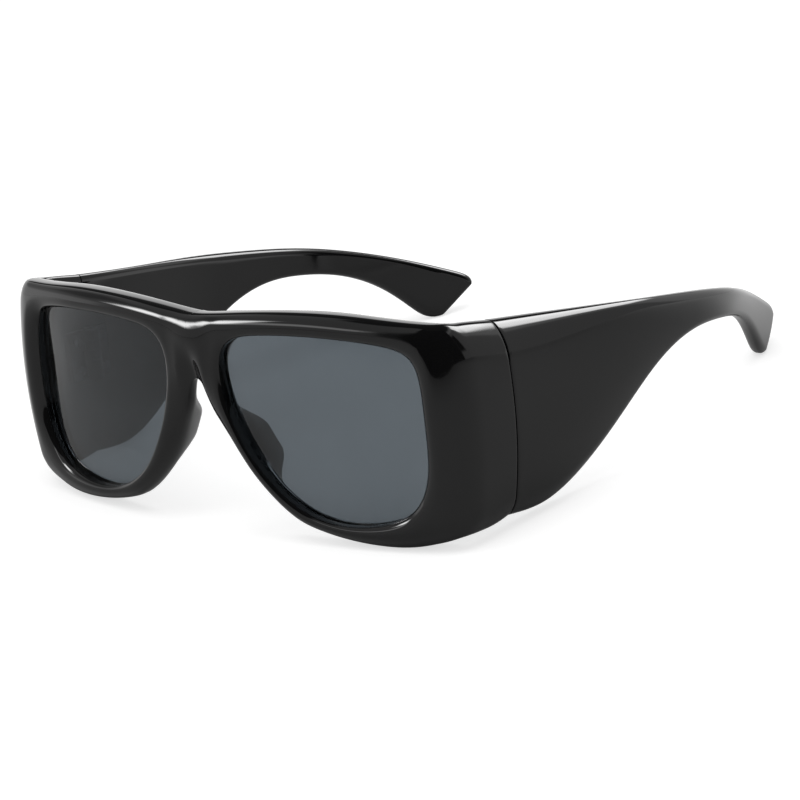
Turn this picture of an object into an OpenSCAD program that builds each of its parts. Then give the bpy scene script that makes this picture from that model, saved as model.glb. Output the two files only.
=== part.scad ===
// Oversized wrap sunglasses, open, resting on the rims' undersides and the temple tips.
// X runs across the face, Y from the front to the tips, Z up. X = 0 is the middle of the
// bridge, and Z = 0 the surface that the glasses stand on.

/* [Front] */
// Half of the front's width, at the seam between front and temple
front_half_w = 73.2; // [71:0.2:76]
// Radius of the face, seen from above
face_r = 275; // [240:5:320]
// Distance inside the half width where the face starts to turn into the side
corner_inset = 9; // [8:0.1:10]
// Length of the turn, along the surface
corner_len = 15; // [14.5:0.5:18]
// Straight length between the turn and the seam
side_len = 10.1; // [9:0.1:12]
// Height of the brow line over the middle of a lens
brow_h = 53.9; // [51.5:0.5:57]
// Height of the brow line in the middle of the bridge
bridge_h = 51.1; // [49:0.5:54]
// Height of the arch under the bridge
arch_h = 36.3; // [34:0.5:39]
// Height of the seam's upper end
seam_top_h = 49.7; // [48:0.2:51]
// Height of the seam's lower end
seam_bottom_h = 4.6; // [3.4:0.2:6]
// Depth of a rim, front to back
rim_depth = 9; // [8.4:0.1:9.6]
// Thickness of the side wall at the seam
wall = 7.4; // [6.8:0.1:8]
// Length of the flat on the inside of the side wall, where the hinge lies
hinge_flat = 8; // [7.5:0.5:9]
// How much the side leans in towards its upper and lower ends
side_crown = 2.4; // [1.5:0.1:3]
// Width of the rounding on the rims' outer edges
rim_round = 5.6; // [4.5:0.1:6.5]
// Width of the rounding on the side's upper edge
side_round = 8.5; // [7:0.1:9]
// Depth of the crease between the two rims
crease_depth = 3.4; // [2:0.1:4]
// How much thinner the middle of the bridge is than the rims
bridge_thin = 4.2; // [3:0.1:4.6]

/* [Lenses] */
// Width of a lens opening, along the face
opening_w = 55.6; // [53:0.2:57]
// Height of a lens opening
opening_h = 44; // [42:0.5:46]
// Distance of a lens opening from the middle of the bridge
opening_gap = 8.8; // [8:0.1:10]
// Height of a lens opening's lower edge
opening_z = 4.9; // [4.5:0.1:6]
// Lens thickness
lens_t = 2; // [1.8:0.1:2.2]
// Depth of the lens behind the face at its upper nose corner
lens_set = 2.2; // [2:0.1:2.6]
// Extra depth of the lens at the temple side
lens_side_set = 1.5; // [1.3:0.1:2]
// Extra depth of the lens at its lower edge
lens_low_set = 1.6; // [1.2:0.1:2]
// How far the middle of a lens bulges forward
lens_bulge = 1; // [0.4:0.1:1.4]
// Depth of the groove that holds the lens
groove_depth = 0.9; // [0.6:0.1:1.1]
// Clearance between a lens and its groove
lens_clearance = 0.1; // [0.06:0.02:0.16]

/* [Nose pads] */
// How far a nose pad stands out behind its rim
pad_h = 5.6; // [4:0.1:7]
// Height of a nose pad's middle
pad_z = 21.4; // [19:0.2:23]
// Half of a nose pad's length
pad_half_l = 10.4; // [8.5:0.5:12]
// How far a nose pad spreads away from the nose at its back
pad_splay = 2; // [1:0.2:3]

/* [Temples] */
// Length of a temple, from the seam to the end of its tip
temple_l = 127.3; // [123.5:0.5:131]
// Height of the tip's upper corner
tip_top_h = 21.9; // [20:0.5:24]
// Height of the tip's lower corner
tip_bottom_h = 11.2; // [10:0.2:13]
// How far the tip's lower corner lies in front of its upper corner
tip_rake = 13.1; // [11.5:0.5:14.5]
// How far the tips curve in
tip_inset = 21.3; // [18:0.2:23]
// Thickness of a temple at its neck
temple_t = 4.2; // [3.8:0.1:4.8]
// Gap of the seam between front and temple
seam_gap = 0.3; // [0.2:0.05:0.5]

/* [Hinges] */
// Height of a hinge's middle
hinge_z = 30; // [28:0.5:33]
// Height of one knuckle
knuckle_h = 2.4; // [2:0.1:2.8]
// Outer diameter of a knuckle
knuckle_d = 4; // [3.6:0.1:4.4]
// Diameter of the hinge screw's shank
pin_d = 1.6; // [1.4:0.05:1.8]
// Radial clearance between the shank and the knuckles' bores
pin_clearance = 0.04; // [0.02:0.01:0.08]
// Gap between neighbouring knuckles
knuckle_gap = 0.12; // [0.08:0.02:0.2]
// Thickness of a hinge leaf
leaf_t = 1; // [0.8:0.1:1.2]
// Length of a hinge leaf on its wall
leaf_l = 6; // [5.5:0.25:6.5]
// Shank diameter of a leaf screw
screw_d = 1.4; // [1.2:0.1:1.6]
// Length of a leaf screw under its head
screw_l = 4; // [3:0.25:4.5]
// Diameter of a leaf screw's head
leaf_head_d = 2.4; // [2:0.1:2.6]
// Diameter of the hinge screw's head
head_d = 3; // [2.6:0.1:3.4]
// Height of a screw's head
head_h = 0.6; // [0.5:0.05:0.8]
// Width of the slot in a screw's head
slot_w = 0.5; // [0.4:0.05:0.6]
// Clearance round the turning knuckles
hinge_clearance = 0.2; // [0.15:0.05:0.3]
// Clearance between a leaf and its wall
leaf_clearance = 0.05; // [0.02:0.01:0.1]

/* [Hidden] */
$fn = 48;

// Rounding of the opening's front edge and how far it drops, at the nose and the temple side
edge_round = 2.2;
edge_drop = 1;
temple_edge_round = 4.6;
temple_edge_drop = 2.5;
// Rounding of the back's outer edges, lip behind the lens and the chamfer round it
back_round = 2;
back_lip = 0.6;
back_chamfer = 4.6;
// Distance from the middle of the bridge where the rims have their full depth
bridge_reach = 14;

// Stations round a lens opening, in four runs, and columns over the corner and the side
brow_steps = 16;
under_steps = 22;
column_steps = 9;

// Radians to degrees
deg = 180 / PI;
// Rising from 0 to 1 with level ends
function ramp(s) = let (c = max(0, min(1, s))) c * c * (3 - 2 * c);
function mix(a, b, s) = a + (b - a) * s;
// Quarter of an ellipse: 1 at the edge with an upright tangent, 0 from one radius on
function quarter(s) = s >= 1 ? 0 : 1 - sqrt(1 - (1 - max(0, s)) * (1 - max(0, s)));

// Cubic spline through control values: f is the place between a and b
function spline4(z, a, b, c, f) =
    (pow(1 - f, 3) * z + (3 * f * f * f - 6 * f * f + 4) * a
    + (-3 * f * f * f + 3 * f * f + 3 * f + 1) * b + f * f * f * c) / 6;
// Closed spline, t from 0 to the number of points
function closed_spline(p, t) =
    let (n = len(p), i = floor(t))
    spline4(p[(i + n - 1) % n], p[i % n], p[(i + 1) % n], p[(i + 2) % n], t - i);
// Open spline that starts and ends on its end points, s from 0 to 1
function open_spline(p, s) =
    let (n = len(p) - 1, t = max(0, min(1, s)) * n, i = min(floor(t), n - 1),
        before = i == 0 ? 2 * p[0] - p[1] : p[i - 1],
        after = i == n - 1 ? 2 * p[n] - p[n - 1] : p[i + 2])
    spline4(before, p[i], p[i + 1], after, t - i);

// Plan curve of the front: the heading turns slowly over the face and fast at the corner
corner_start = front_half_w - corner_inset;
seam_u = corner_start + corner_len + side_len;
corner_turn = 90 - seam_u / face_r * deg;
even_share = 0.3;
function turn(s) = mix(ramp(s), max(0, min(1, s)), even_share);
function heading(u) = u / face_r * deg + corner_turn * turn((u - corner_start) / corner_len);
plan_steps = 180;
plan_du = seam_u / plan_steps;
function plan_way(k) = let (h = heading((k + 0.5) * plan_du)) plan_du * [cos(h), sin(h)];
plan_raw = [for (k = 0, p = [0, 0]; k <= plan_steps; p = p + plan_way(k), k = k + 1) p];
plan_fit = front_half_w / plan_raw[plan_steps][0];
function plan(u) =
    let (t = min(u / plan_du, plan_steps), i = min(floor(t), plan_steps - 1),
        p = mix(plan_raw[i], plan_raw[i + 1], t - i))
    [p[0] * plan_fit, p[1]];
seam_y = plan(seam_u)[1];

// A place on the front: u along the plan curve, z up, d behind the surface
function front_point(u, z, d) =
    let (p = plan(u), h = heading(u))
    [p[0] - d * sin(h), p[1] + d * cos(h), z];

// Lens opening, as shares of its width and height from its lower nose corner
opening_shares = [[0.017, 0.904], [0.096, 0.968], [0.233, 0.988], [0.445, 1], [0.657, 0.992],
    [0.821, 0.965], [0.936, 0.927], [0.976, 0.811], [0.982, 0.636], [0.986, 0.434], [0.97, 0.248],
    [0.887, 0.08], [0.737, 0.018], [0.547, -0.008], [0.356, 0.044], [0.203, 0.183],
    [0.087, 0.372], [0.013, 0.585], [-0.011, 0.782]];
opening_n = len(opening_shares);
opening_controls = [for (s = opening_shares)
    [opening_gap + s[0] * opening_w, opening_z + s[1] * opening_h]];
function opening(t) = closed_spline(opening_controls, (t + opening_n) % opening_n);
// Outward direction square to the opening's edge
function opening_out(t) =
    let (d = opening(t + 0.02) - opening(t - 0.02))
    [-d[1], d[0]] / norm(d);

// Brow line from the bridge to the seam, as shares of the way from the bridge's height
// to the brow's, and then from the seam's height to the brow's
brow_rise_shares = [0, 0.635, 0.98, 1];
brow_fall_shares = [0.66, 0.6, 0];
brow_controls = concat([for (s = brow_rise_shares) mix(bridge_h, brow_h, s)],
    [for (s = brow_fall_shares) mix(seam_top_h, brow_h, s)]);
// Half-length over which the brow line flattens at the bridge
bridge_saddle = 4;
function brow(u) = [u, open_spline(brow_controls,
    norm([u, bridge_saddle]) / norm([seam_u, bridge_saddle]))];
bridge_top = brow(0)[1];

// Underside from the seam over the rim's lowest point to the arch: shares of the length, and
// shares of the seam's lower height and then of the arch's height
under_side_shares = [[1, 1], [0.93, 0.68], [0.765, 0.88], [0.645, 0], [0.47, 0.14]];
under_nose_shares = [[0.35, 0.074], [0.272, 0.135], [0.151, 0.393], [0.091, 0.64], [0.05, 0.78],
    [0.036, 0.88], [0.017, 0.985], [0, 1]];
under_controls = concat([for (s = under_side_shares) [s[0] * seam_u, s[1] * seam_bottom_h]],
    [for (s = under_nose_shares) [s[0] * seam_u, s[1] * arch_h]]);
function under(s) = open_spline(under_controls, s);
// Place on the underside that lies at u, found by halving
function under_place(u, a = 0, b = 1, k = 20) =
    let (m = (a + b) / 2)
    k == 0 ? m : under(m)[0] > u ? under_place(u, m, b, k - 1) : under_place(u, a, m, k - 1);

// The ring of stations ends beside the opening, and regular columns go on to the seam
split_u = opening_gap + opening_w + temple_edge_round;
split_place = under_place(split_u);

// Rows over a length: shares of the lower rounding, the middle and the upper rounding
outer_shares = [0, 0.05, 0.2, 0.45, 0.75, 1];
edge_steps = len(outer_shares) - 1;
row_steps = 5;
function rows(length, low, top, steps = row_steps) =
    let (a = min(low, 0.42 * length), b = min(top, 0.42 * length), m = length - a - b)
    concat([for (s = outer_shares) s * a],
        [for (k = [1 : 1 : steps - 1]) a + m * k / steps],
        [for (k = [edge_steps : -1 : 0]) length - outer_shares[k] * b]) / length;
function column(u) =
    let (low = under(under_place(u)), top = brow(u))
    [for (s = rows(top[1] - low[1], rim_round, side_round)) [u, mix(top[1], low[1], 1 - s)]];
split_rows = column(split_u);
row_n = len(split_rows);
bridge_row_shares = rows(bridge_top - arch_h, rim_round, rim_round, 1);
bridge_steps = len(bridge_row_shares) - 1;

// The four runs of stations: [place on the opening's spline, point on the outer edge, run].
// A place share counts the opening's control points and lies abreast of the outer point.
brow_place_shares = [0.2, 1.45, 3, 4.45, 6.1];
under_place_shares = [10.85, 13.2, 15.25, 16.85, 17.8];
stations = concat(
    [for (i = [0 : brow_steps - 1])
        [open_spline(brow_place_shares, i / brow_steps), brow(split_u * i / brow_steps), 0]],
    [for (i = [0 : row_n - 2])
        let (p = split_rows[row_n - 1 - i], s = (split_rows[row_n - 1][1] - p[1])
            / (split_rows[row_n - 1][1] - split_rows[0][1]))
        [mix(brow_place_shares[4], under_place_shares[0], s), p, 1]],
    [for (i = [0 : under_steps - 1])
        let (s = i / under_steps)
        [open_spline(under_place_shares, s), under(mix(split_place, 1, s)), 2]],
    [for (i = [0 : bridge_steps - 1])
        [mix(under_place_shares[4], opening_n + brow_place_shares[0], i / bridge_steps),
            [0, mix(arch_h, bridge_top, bridge_row_shares[i])], 3]]);
station_n = len(stations);

// Outer edge as two open lines, for measuring distances
line_steps = 40;
brow_line = [for (i = [0 : line_steps]) brow(seam_u * i / line_steps)];
under_line = [for (i = [0 : line_steps]) under(i / line_steps)];
opening_line = [for (s = stations) opening(s[0])];
function segment_distance(p, a, b) =
    let (ab = b - a, s = max(0, min(1, (p - a) * ab / (ab * ab))))
    norm(p - a - s * ab);
function line_distance(p, q) = min([for (i = [0 : len(q) - 2]) segment_distance(p, q[i], q[i + 1])]);

// Share of the way round the corner, for what changes from rim to side wall
function side_share(u) = ramp((u - 0.6 * corner_start) / (seam_u - 0.6 * corner_start));
// Height of the flat strip where front and back meet, and its depth behind the face, at a rim
// and at the side
parting = 0.6;
rim_part = 5.2;
side_part = 0.85 * wall;
// How much thinner the front is towards the bridge
function thinner(u) = bridge_thin * (1 - ramp(u / bridge_reach));
function part_depth(u) =
    mix(rim_part, side_part, ramp((u - corner_start) / corner_len)) - 0.45 * thinner(u);
crown_h = (seam_top_h - seam_bottom_h) / 2;
crown_z = seam_bottom_h + 1.12 * crown_h;
function crown(u, z) = side_crown * mix(0.15, 1, side_share(u)) * pow((z - crown_z) / crown_h, 2);
crease_top = mix(arch_h, bridge_h, 0.7);
crease_w = 0.75 * opening_gap;
function crease(u, z) =
    crease_depth * ramp((crease_top - z) / (crease_top - arch_h)) * (1 - ramp(u / crease_w));

// Share of the way from the middle of a lens to its temple side
function temple_share(u) = ramp((u - opening_gap - 0.55 * opening_w) / (0.45 * opening_w));

// Depth of the lens's front
function lens_depth(p) =
    lens_set + lens_side_set * (p[0] - opening_gap) / opening_w
    + lens_low_set * (1 - (p[1] - opening_z) / opening_h);

// Depth of the front surface
function front_depth(p) =
    let (u = p[0], z = p[1], top = line_distance(p, brow_line), low = line_distance(p, under_line),
        r_top = mix(rim_round, side_round, ramp((u - corner_start) / corner_len)),
        q = max(quarter(top / r_top), quarter(low / rim_round)),
        base = crown(u, z), rest = part_depth(u) - parting / 2 - base, out = temple_share(u),
        drop = mix(edge_drop, temple_edge_drop, out)
            * quarter(line_distance(p, opening_line) / mix(edge_round, temple_edge_round, out)))
    base + rest * q + drop + crease(u, z) * (1 - q);

// Depth of the back surface, flat on the inside of the side wall near the seam
inner_x = front_half_w - wall;
function wall_depth(u) = (plan(u)[0] - inner_x) / sin(heading(u));
flat_u = seam_u - hinge_flat;
function back_base(u) = u < corner_start ? rim_depth - thinner(u)
    : mix(rim_depth, wall_depth(max(u, flat_u)), ramp((u - corner_start) / (flat_u - corner_start)));
function back_depth(p) =
    let (base = back_base(p[0]), d = min(line_distance(p, brow_line), line_distance(p, under_line)),
        rest = base - part_depth(p[0]) - parting / 2,
        lip = lens_depth(p) + lens_t + 2 * lens_clearance + back_lip,
        chamfer = pow(max(0, 1 - line_distance(p, opening_line) / back_chamfer), 1.2))
    base - rest * quarter(d / back_round) - max(0, base - lip) * chamfer;

// Nose pad: a lobe on the back of the rim, at the nose side
function pad_share(z, t) = ramp(1.3 * (1 - abs(z - pad_z) / pad_half_l)) * pow(sin(180 * t), 1.3);

// Rows across a station's line, from the outer edge to the opening
front_inner_shares = [0.7, 0.4, 0.15, 0];
back_outer_shares = [0, 0.2, 0.55, 1];
back_inner_shares = [0.7, 0.35, 0];
middle_steps = 3;
function line_rows(length, outer, inner, shares, end_shares) =
    let (a = min(outer, 0.5 * length), b = min(inner, 0.4 * length), m = length - a - b)
    concat([for (s = shares) s * a], [for (k = [1 : middle_steps]) a + m * k / middle_steps],
        [for (s = end_shares) length - s * b]) / length;

// One station's closed section: front from the outer edge in, lens groove, back from the
// opening out
function section(station) =
    let (t = station[0], inner = opening(t), outer = station[1], n = opening_out(t),
        length = norm(outer - inner), lobe_run = station[2] >= 2,
        off = min(line_distance(outer, brow_line), line_distance(outer, under_line)),
        front_rows = line_rows(length, mix(rim_round, edge_round, ramp(off / rim_round)),
            mix(edge_round, temple_edge_round, temple_share(inner[0])), outer_shares, front_inner_shares),
        back_rows = line_rows(length, back_round, back_chamfer, back_outer_shares, back_inner_shares),
        seat = lens_depth(inner), lip = inner + n * groove_depth)
    concat(
        [for (s = front_rows) let (p = mix(outer, inner, s)) [p[0], p[1], front_depth(p)]],
        [[inner[0], inner[1], seat], [lip[0], lip[1], seat],
            [lip[0], lip[1], seat + lens_t + 2 * lens_clearance],
            [inner[0], inner[1], seat + lens_t + 2 * lens_clearance]],
        [for (k = [len(back_rows) - 1 : -1 : 0])
            let (s = back_rows[k], p = mix(outer, inner, s), lobe = lobe_run ? pad_share(p[1], s) : 0)
            [p[0] + pad_splay * lobe, p[1], back_depth(p) + pad_h * lobe]]);

sections = [for (s = stations) [for (p = section(s)) front_point(p[0], p[1], p[2])]];
section_n = len(sections[0]);
ring_n = station_n * section_n;
// Columns over the corner and the side: a closed loop each, front from the top down and back
// from the bottom up
columns = [for (c = [1 : column_steps])
    let (u = mix(split_u, seam_u, c / column_steps), points = column(u))
    concat([for (k = [row_n - 1 : -1 : 0]) front_point(u, points[k][1], front_depth(points[k]))],
        [for (k = [0 : row_n - 1]) front_point(u, points[k][1], back_depth(points[k]))])];
loop_n = 2 * row_n;
half_points = concat([for (s = sections) for (p = s) p], [for (c = columns) for (p = c) p]);
half_n = len(half_points);

// The mirrored half shares the points of the bridge's middle with the first half
function on_middle(i, j) = (i == 0 || stations[i][2] == 3) && (j == 0 || j == section_n - 1);
function index(side, i, j) = i * section_n + j + (side == 1 && !on_middle(i, j) ? half_n : 0);
function loop_index(side, c, m) =
    let (k = m < row_n ? m : loop_n - 1 - m)
    c == 0 ? index(side, brow_steps + k, m < row_n ? 0 : section_n - 1)
    : side * half_n + ring_n + (c - 1) * loop_n + m;
// Two triangles of a quad, turned over on the mirrored side
function quad(side, a, b, c, d) = side == 0 ? [[a, b, c], [a, c, d]] : [[a, c, b], [a, d, c]];
function half_faces(side) = concat(
    [for (i = [0 : station_n - 1]) for (j = [0 : section_n - 1])
        let (i2 = (i + 1) % station_n, j2 = (j + 1) % section_n,
            open = stations[i][2] == 1 || stations[i][2] == 3)
        if (!(open && j == section_n - 1))
            each quad(side, index(side, i, j), index(side, i2, j), index(side, i2, j2),
                index(side, i, j2))],
    [for (c = [0 : column_steps - 1]) for (m = [0 : loop_n - 1])
        let (m2 = (m + 1) % loop_n)
        each quad(side, loop_index(side, c, m2), loop_index(side, c, m), loop_index(side, c + 1, m),
            loop_index(side, c + 1, m2))],
    [for (k = [0 : row_n - 2])
        let (c = column_steps)
        each quad(side, loop_index(side, c, k + 1), loop_index(side, c, k),
            loop_index(side, c, loop_n - 1 - k), loop_index(side, c, loop_n - 2 - k))]);

// Lens: the opening's outline, grown into the groove, in rings from the middle out
lens_ring_shares = [0.5, 0.85, 1];
lens_middle = [opening_gap + opening_w / 2, opening_z + opening_h / 2];
function lens_edge(t) = opening(t) + (groove_depth - lens_clearance) * opening_out(t);
function lens_point(t, r, behind) =
    let (p = mix(lens_middle, lens_edge(t), r))
    front_point(p[0], p[1], lens_depth(p) + lens_clearance + behind - lens_bulge * (1 - r * r));
lens_side = 1 + len(lens_ring_shares) * station_n;
lens_points = [for (behind = [0, lens_t]) each concat([lens_point(0, 0, behind)],
    [for (r = lens_ring_shares) for (s = stations) lens_point(s[0], r, behind)])];
function ring_index(side, k, i) = side * lens_side + 1 + k * station_n + i % station_n;
lens_faces = concat(
    [for (side = [0, 1]) for (i = [0 : station_n - 1])
        let (a = side * lens_side, b = ring_index(side, 0, i), c = ring_index(side, 0, i + 1))
        side == 0 ? [a, b, c] : [a, c, b]],
    [for (side = [0, 1]) for (k = [0 : len(lens_ring_shares) - 2]) for (i = [0 : station_n - 1])
        let (a = ring_index(side, k, i), b = ring_index(side, k, i + 1),
            c = ring_index(side, k + 1, i + 1), d = ring_index(side, k + 1, i))
        each side == 0 ? [[a, c, b], [a, d, c]] : [[a, b, c], [a, c, d]]],
    [for (i = [0 : station_n - 1])
        let (k = len(lens_ring_shares) - 1, a = ring_index(0, k, i), b = ring_index(0, k, i + 1),
            c = ring_index(1, k, i + 1), d = ring_index(1, k, i))
        each [[a, c, b], [a, d, c]]]);

// Temple: its upper and lower edges, seen from the side, as [y, z]
temple_y = seam_y + seam_gap;
temple_run = temple_l - seam_gap;
neck_h = mix(seam_bottom_h, seam_top_h, 0.6);
upper_shares = [1, 0.902, 0.817, 0.71, 0.586, 0.347, 0];
lower_front_shares = [0, -0.04, 0.133, 0.417, 0.736, 0.945, 1.028];
lower_back_shares = [0.996, 0.89, 0.61, 0];
upper_controls = [for (s = upper_shares) mix(tip_top_h, seam_top_h, s)];
lower_controls = concat([for (s = lower_front_shares) mix(seam_bottom_h, neck_h, s)],
    [for (s = lower_back_shares) mix(tip_bottom_h, neck_h, s)]);
function upper_edge(s) = [temple_y + s * temple_run, open_spline(upper_controls, s)];
function lower_edge(s) = [temple_y + s * (temple_run - tip_rake), open_spline(lower_controls, s)];
// Outer side seen from above: out a little, then in towards the tip
bow_shares = [0, 0.026, 0.05, 0.01, -0.092, -0.578, -1];
function temple_x(y) =
    front_half_w + tip_inset * open_spline(bow_shares, (y - temple_y) / temple_run);

// Stations along a temple: [share of its length, share of the way round the tip's end]
temple_steps = 22;
tip_steps = 7;
tip_start_share = 0.93;
temple_stations = concat([for (i = [0 : temple_steps]) [tip_start_share * i / temple_steps, 0]],
    [for (i = [1 : tip_steps]) let (e = sin(88.5 * i / tip_steps)) [mix(tip_start_share, 1, e), e]]);
temple_round = 2.4;
tip_round = 1.8;
tip_corner_share = 4.5;
// Closed section: outer side from the lower edge up, inner side from the upper edge down
function temple_section(s, e) =
    let (middle = mix(lower_edge(s), upper_edge(s), 0.5),
        keep = pow(1 - pow(e, tip_corner_share), 1 / tip_corner_share),
        low = mix(middle, lower_edge(s), keep), top = mix(middle, upper_edge(s), keep),
        length = norm(top - low), thin = ramp(s / 0.42),
        r_low = mix(rim_round, temple_round, thin), r_top = mix(side_round, temple_round, thin),
        t = mix(wall, temple_t, thin) + 0.2 * temple_t * ramp((s - 0.6) / 0.4),
        part = mix(side_part, 0.52 * t, thin),
        lean = side_crown * mix(1, 0.2, ramp(s / 0.6)),
        end = quarter((1 - e) * (1 - tip_start_share) * temple_run / tip_round))
    concat(
        [for (v = rows(length, r_low, r_top))
            let (p = mix(low, top, v), base = lean * pow(2 * v - 1.12, 2),
                q = max(quarter(v * length / r_low), quarter((1 - v) * length / r_top), end))
            [temple_x(p[0]) - base - (part - parting / 2 - base) * q, p[0], p[1]]],
        [for (v = rows(length, back_round, back_round))
            let (p = mix(top, low, v), d = min(v, 1 - v) * length,
                q = max(quarter(d / back_round), end))
            [temple_x(p[0]) - t + (t - part - parting / 2) * q, p[0], p[1]]]);
temple_sections = [for (s = temple_stations) temple_section(s[0], s[1])];
temple_n = len(temple_sections[0]);
temple_points = [for (s = temple_sections) for (p = s) p];
temple_last = len(temple_sections) - 1;
temple_faces = concat([for (j = [1 : temple_n - 2]) [0, j + 1, j]],
    [for (i = [0 : temple_last - 1]) for (j = [0 : temple_n - 1])
        let (j2 = (j + 1) % temple_n, a = i * temple_n + j, b = (i + 1) * temple_n + j,
            c = (i + 1) * temple_n + j2, d = i * temple_n + j2)
        each [[a, c, b], [a, d, c]]],
    [for (j = [1 : temple_n - 2]) let (a = temple_last * temple_n) [a, a + j, a + j + 1]]);

// The glasses lie on the rims and on the tips' lower corners: the angle that brings both
// to one height, found in a few steps
function lowest(points, a) = min([for (p = points) p[1] * sin(a) + p[2] * cos(a)]);
function lay(a, k) = k == 0 ? a
    : lay(a + (lowest(half_points, a) - lowest(temple_points, a)) / temple_run * deg, k - 1);
first_angle = -6;
lay_steps = 4;
lay_angle = lay(first_angle, lay_steps);
module at_rest() {
    translate([0, 0, -lowest(half_points, lay_angle)])
    rotate([lay_angle, 0, 0])
    children();
}

// Hinge: its axis stands upright in the seam, just inside the walls
hinge_x = inner_x - knuckle_d / 2 - hinge_clearance;
hinge_y = seam_y + seam_gap / 2;
knuckle_pitch = knuckle_h + knuckle_gap;
knuckle_count = 5;
stack_h = knuckle_count * knuckle_pitch - knuckle_gap;
function knuckle_z(k) = hinge_z - stack_h / 2 + k * knuckle_pitch;
leaf_x = inner_x - leaf_clearance - leaf_t;
leaf_start = seam_gap / 2 + leaf_clearance;
screw_y = leaf_start + 0.62 * leaf_l;
screw_pitch = 0.6 * stack_h;
module knuckles(first) {
    for (k = [first : 2 : knuckle_count - 1])
        translate([hinge_x, hinge_y, knuckle_z(k)])
        cylinder(d = knuckle_d, h = knuckle_h);
}

// The leaf's own knuckles start at number first, 0 or 1, and back is 1 on the temple, -1 on the front
module hinge_leaf(first, back) {
    color("#8d8f93")
    difference() {
        union() {
            knuckles(first);
            translate([leaf_x, hinge_y + (back > 0 ? leaf_start : -leaf_start - leaf_l),
                hinge_z - stack_h / 2])
                cube([leaf_t, leaf_l, stack_h]);
            for (k = [first : 2 : knuckle_count - 1])
                translate([hinge_x, hinge_y + (back > 0 ? 0 : -knuckle_d / 2), knuckle_z(k)])
                cube([leaf_x + leaf_t - hinge_x - leaf_t / 4, knuckle_d / 2, knuckle_h]);
        }
        // Room for the other leaf's knuckles
        for (k = [1 - first : 2 : knuckle_count - 1])
            translate([hinge_x, hinge_y, knuckle_z(k) - knuckle_gap])
            cylinder(d = knuckle_d + 2 * hinge_clearance, h = knuckle_h + 2 * knuckle_gap);
        translate([hinge_x, hinge_y, hinge_z - stack_h])
            cylinder(d = pin_d + 2 * pin_clearance, h = 2 * stack_h);
        for (side = [-1, 1])
            translate([leaf_x - leaf_t, hinge_y + back * screw_y, hinge_z + side * screw_pitch / 2])
            rotate([0, 90, 0])
            cylinder(d = screw_d + 2 * pin_clearance, h = 3 * leaf_t);
    }
}

module slot(d, w, depth) {
    translate([-d, -w / 2, -depth])
        cube([2 * d, w, 2 * depth]);
}

// Hinge screw: a shank through all the knuckles under a slotted head
module hinge_screw() {
    color("#a2a4a8")
    difference() {
        translate([hinge_x, hinge_y, hinge_z - stack_h / 2])
        union() {
            cylinder(d = pin_d, h = stack_h + pin_clearance);
            translate([0, 0, stack_h + pin_clearance])
                cylinder(d = head_d, h = head_h);
        }
        translate([hinge_x, hinge_y, hinge_z + stack_h / 2 + pin_clearance + head_h])
            slot(head_d, slot_w, head_h / 2);
    }
}

// Leaf screws: two, one over the other, heads on the leaf and shanks in the wall
module leaf_screws(back) {
    color("#a2a4a8")
    for (side = [-1, 1])
        translate([leaf_x - pin_clearance, hinge_y + back * screw_y, hinge_z + side * screw_pitch / 2])
        rotate([0, 90, 0])
        difference() {
            union() {
                translate([0, 0, -head_h])
                    cylinder(d = leaf_head_d, h = head_h);
                cylinder(d = screw_d, h = screw_l + pin_clearance);
            }
            translate([0, 0, -head_h])
                slot(leaf_head_d, slot_w, head_h / 2);
        }
}

// Blind holes in a wall for the leaf screws
module screw_holes(back) {
    for (side = [-1, 1])
        translate([inner_x - leaf_t, hinge_y + back * screw_y, hinge_z + side * screw_pitch / 2])
        rotate([0, 90, 0])
        cylinder(d = screw_d + 2 * pin_clearance, h = screw_l + leaf_t);
}

module lens() {
    color("#3c4043")
    polyhedron(lens_points, lens_faces);
}

module temple() {
    color("#17171a")
    difference() {
        polyhedron(temple_points, temple_faces);
        screw_holes(1);
    }
}

module front_frame() {
    color("#17171a")
    difference() {
        polyhedron(concat(half_points, [for (p = half_points) [-p[0], p[1], p[2]]]),
            concat(half_faces(0), half_faces(1)));
        for (side = [0, 1])
            mirror([side, 0, 0])
            screw_holes(-1);
    }
}

at_rest() front_frame();
at_rest() lens();  // lens_left
at_rest() mirror([1, 0, 0]) lens();  // lens_right
at_rest() temple();  // temple_left
at_rest() mirror([1, 0, 0]) temple();  // temple_right
at_rest() hinge_leaf(0, -1);  // hinge_front_leaf_left
at_rest() mirror([1, 0, 0]) hinge_leaf(0, -1);  // hinge_front_leaf_right
at_rest() hinge_leaf(1, 1);  // hinge_temple_leaf_left
at_rest() mirror([1, 0, 0]) hinge_leaf(1, 1);  // hinge_temple_leaf_right
at_rest() hinge_screw();  // hinge_screw_left
at_rest() mirror([1, 0, 0]) hinge_screw();  // hinge_screw_right
at_rest() leaf_screws(-1);  // front_leaf_screws_left
at_rest() mirror([1, 0, 0]) leaf_screws(-1);  // front_leaf_screws_right
at_rest() leaf_screws(1);  // temple_leaf_screws_left
at_rest() mirror([1, 0, 0]) leaf_screws(1);  // temple_leaf_screws_right
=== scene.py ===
import math

import bmesh
import bpy
import numpy as np
from mathutils import Matrix, Vector


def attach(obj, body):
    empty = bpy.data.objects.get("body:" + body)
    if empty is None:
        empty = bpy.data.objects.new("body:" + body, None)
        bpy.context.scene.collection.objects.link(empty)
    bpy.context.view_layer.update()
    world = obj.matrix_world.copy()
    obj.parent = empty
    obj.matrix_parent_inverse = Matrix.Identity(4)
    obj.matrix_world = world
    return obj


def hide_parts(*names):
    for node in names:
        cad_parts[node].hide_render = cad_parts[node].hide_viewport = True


# Oversized wrap sunglasses in polished black plastic with smoke lenses, open on a white table.
# The shapes are worked out in millimetres in the maker's own position, then laid down on the
# table and turned into metres.

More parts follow.
